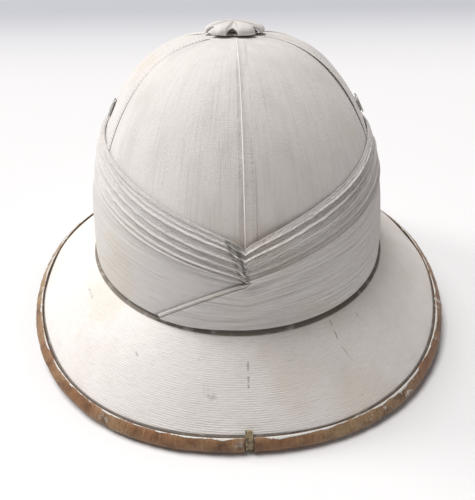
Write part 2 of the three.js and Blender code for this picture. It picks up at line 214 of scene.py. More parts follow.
def to_metres(points):
    placed = np.array(points, dtype=float)
    placed[..., 1] += MOVE_Y
    placed[..., 2] += MOVE_Z
    return placed / 1000


def add_object(name, data):
    made = bpy.data.objects.new(name, data)
    bpy.context.scene.collection.objects.link(made)
    return made


def make_mesh(name, verts, faces, uvs, material, sharp=35):
    """A mesh object whose faces point outwards; uvs holds one pair for each vertex, in metres."""
    verts = np.asarray(verts)
    quads = np.array([f if len(f) == 4 else (*f, f[0]) for f in faces])
    a, b, c, d = (verts[quads[:, k]] for k in range(4))
    volume = np.sum(a * np.cross(b, c)) + np.sum(a * np.cross(c, d))
    if volume < 0:
        faces = [tuple(reversed(f)) for f in faces]
    mesh = bpy.data.meshes.new(name)
    mesh.from_pydata(verts.tolist(), [], [tuple(int(i) for i in f) for f in faces])
    layer = mesh.uv_layers.new(name="cloth")
    corners = np.empty(len(mesh.loops), dtype=np.int32)
    mesh.loops.foreach_get("vertex_index", corners)
    layer.data.foreach_set("uv", np.asarray(uvs)[corners].ravel().astype(np.float32))
    mesh.shade_smooth()
    mesh.set_sharp_from_angle(angle=math.radians(sharp))
    mesh.materials.append(material)
    mesh.validate()
    return add_object(name, mesh)


def grid_uv(points):
    """Distances along the rows and the columns of a grid of points."""
    along_u = np.linalg.norm(np.diff(points, axis=0), axis=-1)
    along_v = np.linalg.norm(np.diff(points, axis=1), axis=-1)
    u = np.concatenate([np.zeros((1, points.shape[1])), np.cumsum(along_u, axis=0)])
    v = np.concatenate([np.zeros((points.shape[0], 1)), np.cumsum(along_v, axis=1)], axis=1)
    middle = u[:, points.shape[1] // 3]
    return np.stack(np.broadcast_arrays(middle[:, None], v), axis=-1)


def shell(name, outer, inner, material, closed, sharp=35):
    """A closed wall between two grids of points of the same size."""
    rows, columns = outer.shape[:2]
    verts = to_metres(np.concatenate([outer.reshape(-1, 3), inner.reshape(-1, 3)]))
    uv = grid_uv(to_metres(outer)).reshape(-1, 2)
    uvs = np.concatenate([uv, uv + 0.003])
    back = rows * columns
    faces = []
    for i in range(rows if closed else rows - 1):
        j = (i + 1) % rows
        for k in range(columns - 1):
            a, b = i * columns + k, j * columns + k
            faces.append((a, b, b + 1, a + 1))
            faces.append((back + a, back + a + 1, back + b + 1, back + b))
        a, b = i * columns, j * columns
        faces.append((a, back + a, back + b, b))
        a, b = a + columns - 1, b + columns - 1
        faces.append((a, b, back + b, back + a))
    if not closed:
        for k in range(columns - 1):
            faces.append((k, k + 1, back + k + 1, back + k))
            a = (rows - 1) * columns + k
            faces.append((a, back + a, back + a + 1, a + 1))
    return make_mesh(name, verts, faces, uvs, material, sharp)


def cloth_wall(name, surface, us, vs, near, far, material, closed=False, sharp=35):
    """A wall on a surface, from the distance near to the distance far off it."""
    u, v = np.meshgrid(us, vs, indexing="ij")
    points = surface(u, v)
    normal = surface_normal(surface, u, v, away_from_axis)
    outer = points + normal * far(u, v)[..., None]
    inner = points + normal * near(u, v)[..., None]
    return shell(name, outer, inner, material, closed, sharp)


def tube_rings(name, rings, material, closed, sharp=35):
    """A solid from a row of closed loops of points; open ends are closed by faces."""
    rings = np.asarray(rings)
    rows, size = rings.shape[:2]
    verts = to_metres(rings.reshape(-1, 3))
    looped = np.concatenate([rings, rings[:, :1]], axis=1)
    uv = grid_uv(to_metres(looped))[:, :size].reshape(-1, 2)
    faces = []
    for i in range(rows if closed else rows - 1):
        j = (i + 1) % rows
        for k in range(size):
            n = (k + 1) % size
            faces.append((i * size + k, j * size + k, j * size + n, i * size + n))
    if not closed:
        # Every section is a fold of two rows of points, so its end is closed pair by pair.
        half = size // 2
        last = (rows - 1) * size
        for k in range(half - 1):
            faces.append((k, k + 1, size - 2 - k, size - 1 - k))
            faces.append((last + k, last + size - 1 - k, last + size - 2 - k, last + k + 1))
    return make_mesh(name, verts, faces, uv, material, sharp)


def lathe(name, profile, centre, axis, material, segments=64):
    """A turned ring whose profile closes on itself, as (radius, height) pairs about an axis."""
    turn = Vector((0, 0, 1)).rotation_difference(Vector(axis)).to_matrix()
    profile = np.asarray(profile, dtype=float)
    rings = []
    for step in range(segments):
        angle = math.tau * step / segments
        flat = np.stack(
            [profile[:, 0] * math.cos(angle), profile[:, 0] * math.sin(angle), profile[:, 1]], axis=-1
        )
        rings.append(flat @ np.array(turn).T + np.asarray(centre))
    return tube_rings(name, rings, material, True)


def finish_piece(piece, slot, *nodes):
    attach(piece, "root")
    if nodes:
        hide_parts(*nodes)
    return piece


def cloth_area(us, vs, surface):
    """The area of one face of a cloth, and its mean width and length, in metres."""
    u, v = np.meshgrid(us, vs, indexing="ij")
    points = to_metres(surface(u, v))
    across = np.linalg.norm(np.diff(points, axis=0), axis=-1)
    along = np.linalg.norm(np.diff(points, axis=1), axis=-1)
    length = across.sum(axis=0).mean()
    width = along.sum(axis=1).mean()
    corner = np.cross(
        points[1:, :-1] - points[:-1, :-1],
        points[:-1, 1:] - points[:-1, :-1],
    )
    return float(np.linalg.norm(corner, axis=-1).sum()), float(width), float(length)


# Materials


class Finish:
    """A node material under construction."""

    def __init__(self, name, roughness, metallic=0.0, sheen=0.0):
        self.material = bpy.data.materials.new(name)
        self.material.use_nodes = True
        self.tree = self.material.node_tree
        self.shader = self.tree.nodes["Principled BSDF"]
        values = {"Roughness": roughness, "Metallic": metallic, "Sheen Weight": sheen}
        self.fill(self.shader, values | {"Specular IOR Level": 0.3})

    def fill(self, made, values):
        for name, value in values.items():
            made.inputs[name].default_value = value

    def node(self, kind, **settings):
        made = self.tree.nodes.new(kind)
        for key, value in settings.items():
            setattr(made, key, value)
        return made

    def join(self, source, target):
        self.tree.links.new(source, target)

    def math(self, operation, a, b=None):
        made = self.node("ShaderNodeMath", operation=operation)
        for socket, value in zip(made.inputs, (a, b)):
            if value is None:
                continue
            if isinstance(value, (int, float)):
                socket.default_value = value
            else:
                self.join(value, socket)
        return made.outputs[0]

    def times(self, a, b):
        return self.math("MULTIPLY", a, b)

    def plus(self, a, b):
        return self.math("ADD", a, b)

    def apart(self, vector):
        """The three numbers of a vector."""
        made = self.node("ShaderNodeSeparateXYZ")
        self.join(vector, made.inputs[0])
        return made.outputs[0], made.outputs[1], made.outputs[2]

    def cloth_coordinates(self):
        vector = self.node("ShaderNodeUVMap", uv_map="cloth").outputs[0]
        return vector, *self.apart(vector)[:2]

    def object_coordinates(self):
        return self.node("ShaderNodeTexCoord").outputs["Object"]

    def noise(self, vector, scale, detail=3.0, stretch=None, roughness=0.5):
        if stretch is not None:
            mapping = self.node("ShaderNodeMapping")
            mapping.inputs["Scale"].default_value = stretch
            self.join(vector, mapping.inputs["Vector"])
            vector = mapping.outputs[0]
        made = self.node("ShaderNodeTexNoise")
        self.fill(made, {"Scale": scale, "Detail": detail, "Roughness": roughness})
        self.join(vector, made.inputs["Vector"])
        return made.outputs[0]

    def ramp(self, value, low, high):
        made = self.node("ShaderNodeMapRange", interpolation_type="SMOOTHSTEP")
        self.fill(made, {"From Min": low, "From Max": high})
        self.join(value, made.inputs["Value"])
        return made.outputs[0]

    def mix(self, share, first, second):
        made = self.node("ShaderNodeMix", data_type="RGBA")
        if isinstance(share, (int, float)):
            made.inputs["Factor"].default_value = share
        else:
            self.join(share, made.inputs["Factor"])
        for socket, value in ((made.inputs[6], first), (made.inputs[7], second)):
            if isinstance(value, tuple):
                socket.default_value = (*value, 1.0)
            else:
                self.join(value, socket)
        return made.outputs[2]

    def patches(self, vector, scale, detail, low, high):
        """Noise cut to soft patches: 0 where it is at its low end, 1 at its high end."""
        return self.ramp(self.noise(vector, scale, detail), low, high)

    def stain(self, tone, colour, share, depth):
        """The tone with a colour over it where the share is 1, as strong as the depth."""
        return self.mix(self.times(share, depth), tone, colour)

    def stroke(self, vector, start, end, width):
        """1 on a short mark between two points of the plan, in metres, and 0 away from it."""
        x, y, _ = self.apart(vector)
        x = self.math("SUBTRACT", x, start[0])
        y = self.math("SUBTRACT", y, start[1])
        run = (end[0] - start[0], end[1] - start[1])
        size = run[0] ** 2 + run[1] ** 2
        along = self.plus(self.times(x, run[0]), self.times(y, run[1]))
        along = self.math("DIVIDE", along, size)
        along = self.math("MINIMUM", self.math("MAXIMUM", along, 0.0), 1.0)
        off_x = self.math("SUBTRACT", x, self.times(along, run[0]))
        off_y = self.math("SUBTRACT", y, self.times(along, run[1]))
        squared = self.plus(self.times(off_x, off_x), self.times(off_y, off_y))
        return self.ramp(self.math("SQRT", squared), width, 0.2 * width)

    def colour(self, value):
        self.join(value, self.shader.inputs["Base Color"])

    def bump(self, height, depth, strength=1.0, under=None):
        made = self.node("ShaderNodeBump")
        self.fill(made, {"Strength": strength, "Distance": depth})
        self.join(height, made.inputs["Height"])
        if under is not None:
            self.join(under, made.inputs["Normal"])
        self.join(made.outputs[0], self.shader.inputs["Normal"])
        return made.outputs[0]


def weave_height(finish, across, along, pitch, share_along=0.5):
    """Threads that pass over and under each other."""
    turns = math.tau / pitch
    warp = finish.math("SINE", finish.times(across, turns))
    weft = finish.math("SINE", finish.times(along, turns))
    mixed = finish.plus(finish.times(warp, 1 - share_along), finish.times(weft, share_along))
    return finish.plus(finish.times(mixed, 0.5), 0.5)


# Colours of what has settled on the cloth, of the painted shade where pieces meet, and of the leather's wear
YELLOWED = (0.72, 0.63, 0.44)
MARK_GREY = (0.13, 0.12, 0.12)
# Painted shade: the dark line in the gap where another piece sits on the cloth.
SEAT_SHADE = (0.15, 0.125, 0.10)
HEM_DARK_LINES = (0.20, 0.17, 0.14)
HEM_STAIN = (0.62, 0.50, 0.30)
# Painted shade: the dark spot in the corner where the wrap's cloth edges meet.
CORNER_SHADE = (0.05, 0.045, 0.04)
REDDER_LEATHER = (0.30, 0.17, 0.125)
PALE_CRACK = (0.52, 0.38, 0.24)
BARE_EDGE = (0.74, 0.72, 0.68)
THREADS_RUBBED = (150.0, 1500.0, 1.0)


def darker(tone, share):
    return tuple(share * c for c in tone)


def with_marks(finish, place, tone, marks):
    """Short dark strokes, broken up. A mark is its start, end, half width and depth."""
    for start, end, width, depth in marks:
        stroke = finish.stroke(place, start, end, width)
        broken = finish.patches(place, 330.0, 3.0, 0.36, 0.6)
        tone = finish.stain(tone, MARK_GREY, finish.times(stroke, broken), depth)
    return tone


def with_seats(finish, place, tone, seats):
    """Painted shade in the gap where another piece sits on the cloth. A seat is an attribute, its unshaded
    and shaded ends and a depth.
    """
    for attribute, unshaded_end, shaded_end, depth in seats:
        distance = finish.node("ShaderNodeAttribute", attribute_name=attribute).outputs["Fac"]
        patch = finish.times(finish.patches(place, 140.0, 3.0, 0.0, 0.5), depth)
        tone = finish.stain(tone, SEAT_SHADE, finish.ramp(distance, unshaded_end, shaded_end), patch)
    return tone


def with_hem(finish, place, tone, across, along, patchy):
    """A darker edge, a broken dark row along the hem, a stain between them and painted shade in the corner
    where the cloth's edges meet.
    """
    edge = finish.times(finish.ramp(across, 0.0012, 0.0004), 0.5)
    row = finish.times(finish.ramp(across, 0.0034, 0.0039), finish.ramp(across, 0.0047, 0.0042))
    broken = finish.patches(place, 260.0, 3.0, 0.15, 0.45)
    row = finish.times(finish.times(row, broken), 0.85)
    tone = finish.mix(finish.math("MAXIMUM", edge, row), tone, HEM_DARK_LINES)
    stain = finish.times(finish.ramp(across, 0.0060, 0.0030), finish.ramp(patchy, 0.42, 0.6))
    tone = finish.stain(tone, HEM_STAIN, stain, 0.12)
    # Painted shade: a dark spot where the band's end meets its foot, standing for the small hole between the
    # cloth's edges.
    corner = finish.plus(finish.times(across, across), finish.times(along, along))
    return finish.mix(finish.ramp(finish.math("SQRT", corner), 0.0052, 0.0034), tone, CORNER_SHADE)


def white_cloth(
    name, base, dirt, pitch, share_along, weave_depth, streaks, soiling,
    marks=(), wrinkles=None, seats=(), hemmed=False, rubbing=THREADS_RUBBED,
):
    """Plain white cotton: threads, grey soiling in streaks and patches, marks, painted shade where another
    piece sits on it, a hem, and wrinkles along the cloth, given as their stretch and their depth."""
    finish = Finish(name, 0.88, sheen=0.15)
    vector, across, along = finish.cloth_coordinates()
    place = finish.object_coordinates()
    weave = weave_height(finish, across, along, pitch, share_along)
    patchy = finish.noise(place, 24.0, 5.0, roughness=0.6)
    fine = finish.noise(place, 520.0, 2.0)
    streak = finish.noise(place, 1.0, 5.0, stretch=streaks, roughness=0.6)
    soil = finish.times(finish.ramp(streak, 0.40, 0.72), 0.62 * soiling)
    soil = finish.plus(soil, finish.times(finish.ramp(patchy, 0.46, 0.74), 0.42 * soiling))
    tone = finish.mix(soil, base, dirt)
    rubbed = finish.noise(vector, 1.0, 3.0, stretch=rubbing)
    tone = finish.stain(tone, darker(dirt, 0.9), finish.ramp(rubbed, 0.45, 0.75), 0.2)
    tone = finish.stain(tone, darker(dirt, 0.6), finish.ramp(fine, 0.62, 0.76), 0.12)
    tone = finish.stain(tone, YELLOWED, finish.patches(place, 17.0, 4.0, 0.52, 0.68), 0.26)
    tone = with_marks(finish, place, tone, marks)
    tone = with_seats(finish, place, tone, seats)
    if hemmed:
        tone = with_hem(finish, place, tone, across, along, patchy)
    finish.colour(tone)
    raised = finish.plus(fine, finish.times(rubbed, 1.2))
    height = finish.plus(finish.times(weave, 0.6), raised)
    under = finish.bump(height, weave_depth)
    if wrinkles is not None:
        stretch, depth = wrinkles
        long_folds = finish.noise(vector, 1.0, 3.0, stretch=stretch, roughness=0.55)
        finish.bump(long_folds, depth, under=under)
    return finish.material


def leather(name, base, dark, yellow):
    finish = Finish(name, 0.45)
    vector, _, across = finish.cloth_coordinates()
    place = finish.object_coordinates()
    broad = finish.noise(place, 16.0, 4.0)
    worn = finish.noise(place, 120.0, 5.0, roughness=0.62)
    grain = finish.noise(place, 900.0, 3.0)
    tone = finish.mix(finish.ramp(broad, 0.36, 0.62), base, yellow)
    right = finish.ramp(finish.apart(place)[0], 0.02, 0.12)
    tone = finish.stain(tone, REDDER_LEATHER, right, 0.45)
    tone = finish.stain(tone, dark, finish.ramp(worn, 0.40, 0.74), 0.85)
    chips = finish.patches(place, 190.0, 4.0, 0.57, 0.64)
    chips = finish.times(chips, finish.ramp(broad, 0.45, 0.57))
    ragged = finish.noise(place, 60.0, 5.0, roughness=0.65)
    width = finish.times(finish.math("SUBTRACT", ragged, 0.50), 0.007)
    edge = finish.ramp(finish.math("SUBTRACT", across, width), 0.0009, 0.0005)
    white = finish.math("MAXIMUM", finish.times(chips, 0.8), edge)
    # Painted shade: the leather is darkened over the fold's lower half, away from its inner top edge, so that
    # the rolled edge looks round.
    tone = finish.stain(tone, darker(dark, 0.5), finish.ramp(across, 0.0080, 0.0145), 0.7)
    cracks = finish.noise(vector, 1.0, 4.0, stretch=(900.0, 130.0, 1.0), roughness=0.6)
    tone = finish.stain(tone, dark, finish.ramp(cracks, 0.55, 0.7), 0.55)
    tone = finish.stain(tone, PALE_CRACK, finish.ramp(cracks, 0.42, 0.33), 0.3)
    finish.colour(finish.mix(white, tone, BARE_EDGE))
    height = finish.plus(finish.times(grain, 0.4), finish.plus(worn, finish.times(white, 0.6)))
    height = finish.math("SUBTRACT", height, finish.times(cracks, 1.2))
    finish.bump(height, 0.0004, 0.9)
    return finish.material


def canvas(name, base, dark):
    finish = Finish(name, 0.92)
    place = finish.object_coordinates()
    _, across, along = finish.cloth_coordinates()
    weave = weave_height(finish, across, along, 0.0007)
    worn = finish.noise(place, 500.0, 3.0)
    finish.colour(finish.mix(finish.ramp(worn, 0.42, 0.62), base, dark))
    finish.bump(finish.plus(weave, worn), 0.0003, 0.9)
    return finish.material


def dull_metal(name, base, worn_colour):
    finish = Finish(name, 0.5, metallic=0.35)
    place = finish.object_coordinates()
    worn = finish.noise(place, 420.0, 4.0)
    finish.colour(finish.mix(finish.ramp(worn, 0.5, 0.66), base, worn_colour))
    finish.bump(worn, 0.0001, 0.6)
    return finish.material


def floor_finish(name, base, far_colour):
    """Pale paper that greys towards the back."""
    finish = Finish(name, 0.7)
    back = finish.apart(finish.object_coordinates())[1]
    finish.colour(finish.mix(finish.ramp(back, 0.45, 2.2), base, far_colour))
    return finish.material


# Settings that a user may change


def length_setting(label, meaning, metres):
    return bpy.props.FloatProperty(name=label, description=meaning, default=metres, unit="LENGTH")


def colour_setting(label, meaning, value):
    return bpy.props.FloatVectorProperty(
        name=label, description=meaning, default=value, subtype="COLOR", size=3
    )


class HelmetSizes(bpy.types.PropertyGroup):
    dents: length_setting("Dents", "Depth of the soft dents of crown and brim", 0.0006)
    pleat_relief: length_setting("Pleat relief", "How far a pleat's fold stands off the next one", 0.0017)
    stitch_length: length_setting("Stitch length", "Length of a seam stitch", 0.0013)
    stitch_pitch: length_setting("Stitch pitch", "Distance from one seam stitch to the next", 0.0021)
    stitch_thread: length_setting("Thread", "Half the thickness of the sewing thread", 0.00014)


class HelmetColours(bpy.types.PropertyGroup):
    cloth: colour_setting("Cloth", "Clean white cloth", (0.865, 0.828, 0.80))
    soiled: colour_setting("Soiled cloth", "Greyed cloth", (0.56, 0.515, 0.49))
    wrap: colour_setting("Wrap", "Muslin of the wrap", (0.80, 0.772, 0.752))
    leather: colour_setting("Leather", "Tan binding leather", (0.285, 0.142, 0.07))
    floor: colour_setting("Floor", "Pale surface below the helmet", (0.86, 0.86, 0.87))


def sizes():
    return bpy.context.scene.helmet_sizes


def colour(name):
    return tuple(getattr(bpy.context.scene.helmet_colours, name))


def built(name, make, *values, **more):
    """A material that several pieces share, made once."""
    return bpy.data.materials.get(name) or make(name, *values, **more)


def crown_cloth():
    return built(
        "crown_drill", white_cloth, colour("cloth"), colour("soiled"), 0.00085, 0.5, 0.00014,
        (48.0, 48.0, 3.0), 0.42, rubbing=(520.0, 26.0, 1.0),
    )


def plan_place(x, y):
    return x / 1000, (y + MOVE_Y) / 1000


# Marks on the brim: the plan's x and y of both ends in millimetres, half width in metres, depth.
BRIM_MARKS = (
    (0.6, -132.6, 0.6, -141.5, 0.0009, 0.5),
    (47.0, -112.2, 51.6, -121.5, 0.0006, 0.6),
    (51.6, -121.5, 57.4, -125.6, 0.0006, 0.6),
    (-21.9, -139.6, -16.9, -143.5, 0.0022, 0.25),
    (-59.6, -120.0, -58.6, -121.4, 0.0006, 0.5),
    (64.0, -104.0, 69.0, -107.5, 0.001, 0.3),
    (-96.0, -70.0, -92.0, -78.0, 0.0011, 0.3),
    (36.0, 139.0, 42.0, 150.0, 0.001, 0.35),
)
# Painted light: the brim's drill, the same cloth as the crown's, is made brighter by this factor, standing
# for the stronger top light on the brim, which faces up.
BRIM_PAINTED_LIGHT = 1.085


def brim_cloth():
    marks = [(plan_place(a, b), plan_place(c, d), width, depth) for a, b, c, d, width, depth in BRIM_MARKS]
    lit_brim_cloth = tuple(min(1.0, BRIM_PAINTED_LIGHT * c) for c in colour("cloth"))
    return built(
        "brim_drill", white_cloth, lit_brim_cloth, colour("soiled"), 0.0012, 0.75, 0.00014,
        (26.0, 26.0, 26.0), 0.26, marks,
        # Painted shade: dark lines on the brim beside the wrap's foot and along the binding's inner edge, in
        # the gaps between the parts.
        seats=(("from_crown", 0.0037, 0.0027, 0.9), ("from_edge", 0.0071, 0.0060, 0.9)),
    )


def wrap_cloth(name, wrinkles):
    return built(
        name, white_cloth, colour("wrap"), colour("soiled"), 0.0006, 0.5, 0.00012,
        (14.0, 14.0, 30.0), 0.3, wrinkles=wrinkles, hemmed=True,
    )


# Crown


def crown_surface(azimuth, rise):
    hole = VENT_HOLE_RADIUS / crown_base_radius(azimuth)
    above = dome_point(azimuth, np.minimum(1, hole + (1 - hole) * np.cos(np.maximum(rise, 0) * math.pi / 2)))
    below = around(azimuth, crown_base_radius(azimuth), crown_base_height(azimuth) + rise * CROWN["skirt"])
    return np.where((rise < 0)[..., None], below, above)


def crown_dents(azimuth, rise, depth):
    points = crown_surface(azimuth, rise)
    soft = waves(points[..., 0] / 34, points[..., 1] / 34 + points[..., 2] / 30, 3)
    creases = waves(azimuth * 30, points[..., 2] / 60, 8, count=6, low=0.6, high=1.2)
    hold = faded(rise, 0.06, 0.12)
    return (0.75 * soft + 0.14 * creases) * depth * hold


def eyelet_place(side):
    azimuth = np.array([side * math.radians(EYELET["azimuth"])])
    height = np.array([EYELET["height"]])
    point = dome_point_at_height(azimuth, height)[0]
    return point, surface_normal(dome_point_at_height, azimuth, height, away_from_axis)[0]


def bore(piece, point, normal, radius, length):
    """Cuts a round hole through a piece."""
    mesh = bpy.data.meshes.new("drill")
    steps = 24
    side = Vector((0, 0, 1)).rotation_difference(Vector(normal)).to_matrix()
    verts = []
    for end in (-length / 2, length / 2):
        for step in range(steps):
            angle = math.tau * step / steps
            arm = side @ Vector((radius * math.cos(angle), radius * math.sin(angle), end))
            verts.append(tuple(to_metres(np.asarray(point) + np.array(arm))))
    faces = [(k, (k + 1) % steps, steps + (k + 1) % steps, steps + k) for k in range(steps)]
    faces += [tuple(reversed(range(steps))), tuple(range(steps, 2 * steps))]
    mesh.from_pydata(verts, [], faces)
    mesh.validate()
    drill = add_object("drill", mesh)
    cut = piece.modifiers.new("hole", "BOOLEAN")
    cut.operation = "DIFFERENCE"
    cut.solver = "EXACT"
    cut.object = drill
    apply_modifiers(piece)
    bpy.data.objects.remove(drill)
    bpy.data.meshes.remove(mesh)


def apply_modifiers(piece):
    """Turns what the modifiers give into the piece's own mesh."""
    bpy.context.view_layer.update()
    graph = bpy.context.evaluated_depsgraph_get()
    shown = piece.evaluated_get(graph)
    baked = bpy.data.meshes.new_from_object(shown, preserve_all_data_layers=True, depsgraph=graph)
    piece.modifiers.clear()
    old = piece.data
    piece.data = baked
    bpy.data.meshes.remove(old)


class HELMET_OT_crown(bpy.types.Operator):
    """Builds the domed crown with its soft dents and its eyelet holes"""

    bl_idname = "helmet.crown"
    bl_label = "Crown"

    def execute(self, context):
        depth = sizes().dents * 1000
        us = np.linspace(0, math.tau, 301)[:-1]
        vs = np.concatenate([[-1, -0.5], np.linspace(0, 1, 62)])
        piece = cloth_wall(
            "crown_cover", crown_surface, us, vs, lambda u, v: np.full(u.shape, -CROWN["wall"]),
            lambda u, v: crown_dents(u, v, depth), crown_cloth(), closed=True, sharp=50,
        )
        for side in (-1, 1):
            point, normal = eyelet_place(side)
            bore(piece, point, normal, EYELET["hole"] + EYELET_ROOM, 4 * CROWN["wall"])
        finish_piece(piece, "crown_cloth", "crown")
        return {"FINISHED"}


class HELMET_OT_brim(bpy.types.Operator):
    """Builds the sloping brim, sunk a little where it meets the crown"""

    bl_idname = "helmet.brim"
    bl_label = "Brim"

    def execute(self, context):
        depth = sizes().dents * 1000
        us = np.linspace(-math.pi, math.pi, 421)[:-1]
        vs = stations((0, 0.1, 6), (0.1, 1, 30))
        u, v = np.meshgrid(us, vs, indexing="ij")
        points = brim_top(u, v)
        normal = surface_normal(brim_top, u, v, upward)
        relief = depth * 1.3 * waves(points[..., 0] / 30, points[..., 1] / 30, 21)
        relief = relief * faded(v, 0.15, 0.15)
        relief = relief - BRIM_SINK * (1 - smooth(v / 0.05))
        under = points - normal * BRIM_WALL
        under[:, 0] = points[:, 0] - np.array([0, 0, BRIM_WALL / math.cos(math.radians(45))])
        piece = shell("brim_cover", points + normal * relief[..., None], under, brim_cloth(), True, 50)
        across = np.linalg.norm(points - points[:, :1], axis=-1) / 1000
        for name, distance in (("from_crown", across), ("from_edge", across[:, -1:] - across)):
            layer = piece.data.attributes.new(name, "FLOAT", "POINT")
            both = np.concatenate([distance.ravel(), np.full(distance.size, 0.05)])
            layer.data.foreach_set("value", both.astype(np.float32))
        finish_piece(piece, "brim_cloth", "brim")
        return {"FINISHED"}


# Binding


def edge_frame(azimuth):
    share = np.ones_like(azimuth)
    normal = surface_normal(brim_top, azimuth, share, upward)
    middle = brim_top(azimuth, share) - normal * BRIM_WALL / 2
    along = brim_top(azimuth + 1e-3, share) - brim_top(azimuth - 1e-3, share)
    along /= np.linalg.norm(along, axis=-1, keepdims=True)
    outward = np.cross(along, normal)
    outward /= np.linalg.norm(outward, axis=-1, keepdims=True)
    side = np.sum(outward * middle, axis=-1, keepdims=True)
    return middle, normal, np.where(side < 0, -outward, outward)


def folded_section(leather_thickness, arm, nose_out, steps):
    """The outer line of the fold, then its inner line back, with the same number of points."""
    pocket = BRIM_WALL / 2 + GAP
    outer = pocket + leather_thickness
    angles = np.radians(np.linspace(90, -90, steps))
    rounding = 0.45
    line = [(-arm, outer - rounding), (-arm + rounding, outer), (-arm / 2, outer)]
    line += [(nose_out - outer + outer * math.cos(a), outer * math.sin(a)) for a in angles]
    line += [(-arm / 2, -outer), (-arm + rounding, -outer), (-arm, -outer + rounding)]
    back = [(-arm, pocket), (-arm + 0.5, pocket), (-arm / 2, pocket)]
    back += [(GAP, pocket * math.sin(a)) for a in angles]
    back += [(-arm / 2, -pocket), (-arm + 0.5, -pocket), (-arm, -pocket)]
    return np.array(line), np.array(back)


def sweep_on_edge(name, section, azimuths, material, swell=None):
    line, back = section
    middle, normal, outward = edge_frame(azimuths)
    lowest = -MOVE_Z
    loops = []
    for points, moved in ((line, True), (back, False)):
        out = np.broadcast_to(points[None, :, 0], (len(azimuths), len(points)))
        up = np.broadcast_to(points[None, :, 1], out.shape)
        if moved and swell is not None:
            grow = swell(azimuths[:, None], np.arange(len(points))[None, :] / (len(points) - 1))
            centre = -1.0
            out = np.where(out > centre, centre + (out - centre) * (1 + grow), out)
            up = up * (1 + grow)
        grid = middle[:, None] + outward[:, None] * out[..., None] + normal[:, None] * up[..., None]
        grid[..., 2] = np.maximum(grid[..., 2], lowest)
        loops.append(grid)
    rings = np.concatenate([loops[0], loops[1][:, ::-1]], axis=1)
    return tube_rings(name, rings, material, False, 60)


JOINT_HALF_GAP = 2.5
TAB_HALF_WIDTH = 2.0
STRIP_FOLD = {"leather_thickness": 1.3, "arm": 5.5, "nose_out": GAP + 2.6, "steps": 13}
TAB_FOLD = {"leather_thickness": 1.0, "arm": 9.0, "nose_out": GAP + 1.65, "steps": 11}


class HELMET_OT_binding(bpy.types.Operator):
    """Builds the worn leather folded over the brim's edge, and the canvas tab in its joint"""

    bl_idname = "helmet.binding"
    bl_label = "Edge binding"

    def execute(self, context):
        material = built("worn_leather", leather, colour("leather"), (0.115, 0.06, 0.036), (0.40, 0.27, 0.15))
        half = JOINT_HALF_GAP / BRIM["front"]
        azimuths = np.linspace(half, math.tau - half, 620)

        def swell(azimuth, place):
            lumps = 0.03 * waves(azimuth * 26, place * 3, 31) + 0.018 * waves(azimuth * 90, place * 7, 32)
            return lumps * faded(place, 0.15, 0.15)

        strip = sweep_on_edge(
            "binding_strip", folded_section(**STRIP_FOLD), azimuths, material, swell
        )
        finish_piece(strip, "binding_leather", "edge_binding")
        khaki = built("khaki_canvas", canvas, (0.44, 0.35, 0.22), (0.20, 0.15, 0.09))
        half = TAB_HALF_WIDTH / BRIM["front"]

        def fray(azimuth, place):
            return 0.06 * waves(azimuth * 420, place * 16, 41)

        tab = sweep_on_edge(
            "joint_tab", folded_section(**TAB_FOLD), np.linspace(-half, half, 22), khaki, fray
        )
        finish_piece(tab, "tab_canvas", "binding_joint_tab")
        return {"FINISHED"}


# Wrap. The cloth's thickness, half a turn's run and the band's height are in millimetres, and a
# sheet is larger than what it covers by what is turned under.

CROSSING_START = math.radians(-25)
CROSSING_TUCK = math.radians(6)
CROSSING_FADE = 14.0
WRAP_CLOTH = 1.6
HALF_TURN = 385.0
BAND_HEIGHT = 45


def band_surface(start):
    def surface(u, share):
        first = CROSSING_START * np.maximum(0, 1 - share)
        azimuth = start + first + u * (math.pi + CROSSING_TUCK)
        foot = crown_base_height(azimuth) + GAP
        return dome_point_at_height(azimuth, foot + (pleats_low(azimuth) - GAP - foot) * share)

    return surface


def edge_round(distance, thickness):
    """Rounds a cloth's edge: 0 on the edge, 1 once it is one thickness in."""
    share = np.clip(distance / thickness, 0, 1)
    return np.sqrt(1 - (1 - share) ** 2)


def plain_band(name, start, seed):
    surface = band_surface(start)
    us = stations((0, 0.012, 7), (0.012, 0.14, 60), (0.14, 1, 190))
    vs = stations((0, 0.03, 4), (0.03, 0.97, 44), (0.97, 1, 4))
    degrees = math.degrees(math.pi + CROSSING_TUCK)

    def lift(u):
        gone = (u * degrees - math.degrees(CROSSING_TUCK) - 1) / CROSSING_FADE
        return (WRAP_CLOTH * 0.75 + GAP) * (1 - smooth(gone))

    def far(u, v):
        from_end = u * HALF_TURN
        hem = 0.12 * bell(from_end, 1.6, 1.0) - 0.45 * bell(from_end, 3.3, 0.35)
        hem = hem * smooth((1 - v) / 0.1)
        drape = 0.30 * waves(u * 26 + v * 2.4, v * 7 - u * 8, seed, count=7, low=0.5, high=1.5)
        near_end = np.exp(-u * 9)
        folds = 0.5 * np.sin(v * 21 - u * 34 + 1.6 * np.sin(v * 5)) * near_end * smooth(u / 0.03)
        hold = faded(v, 0.08, 0.08) * smooth((1 - u) / 0.05)
        body = WRAP_CLOTH * 0.55 + (drape + folds) * hold + hem
        round_off = edge_round(from_end, 2.2) * edge_round(v * BAND_HEIGHT, 0.8)
        round_off = round_off * edge_round((1 - v) * BAND_HEIGHT, 0.8)
        return GAP + lift(u) + np.maximum(body, 0.35) * (0.25 + 0.75 * round_off)

    muslin = wrap_cloth("wrap_muslin", ((9.0, 230.0, 1.0), 0.0014))
    piece = cloth_wall(name, surface, us, vs, lambda u, v: GAP + lift(u), far, muslin, sharp=75)
    return piece, cloth_area(us, vs, surface)


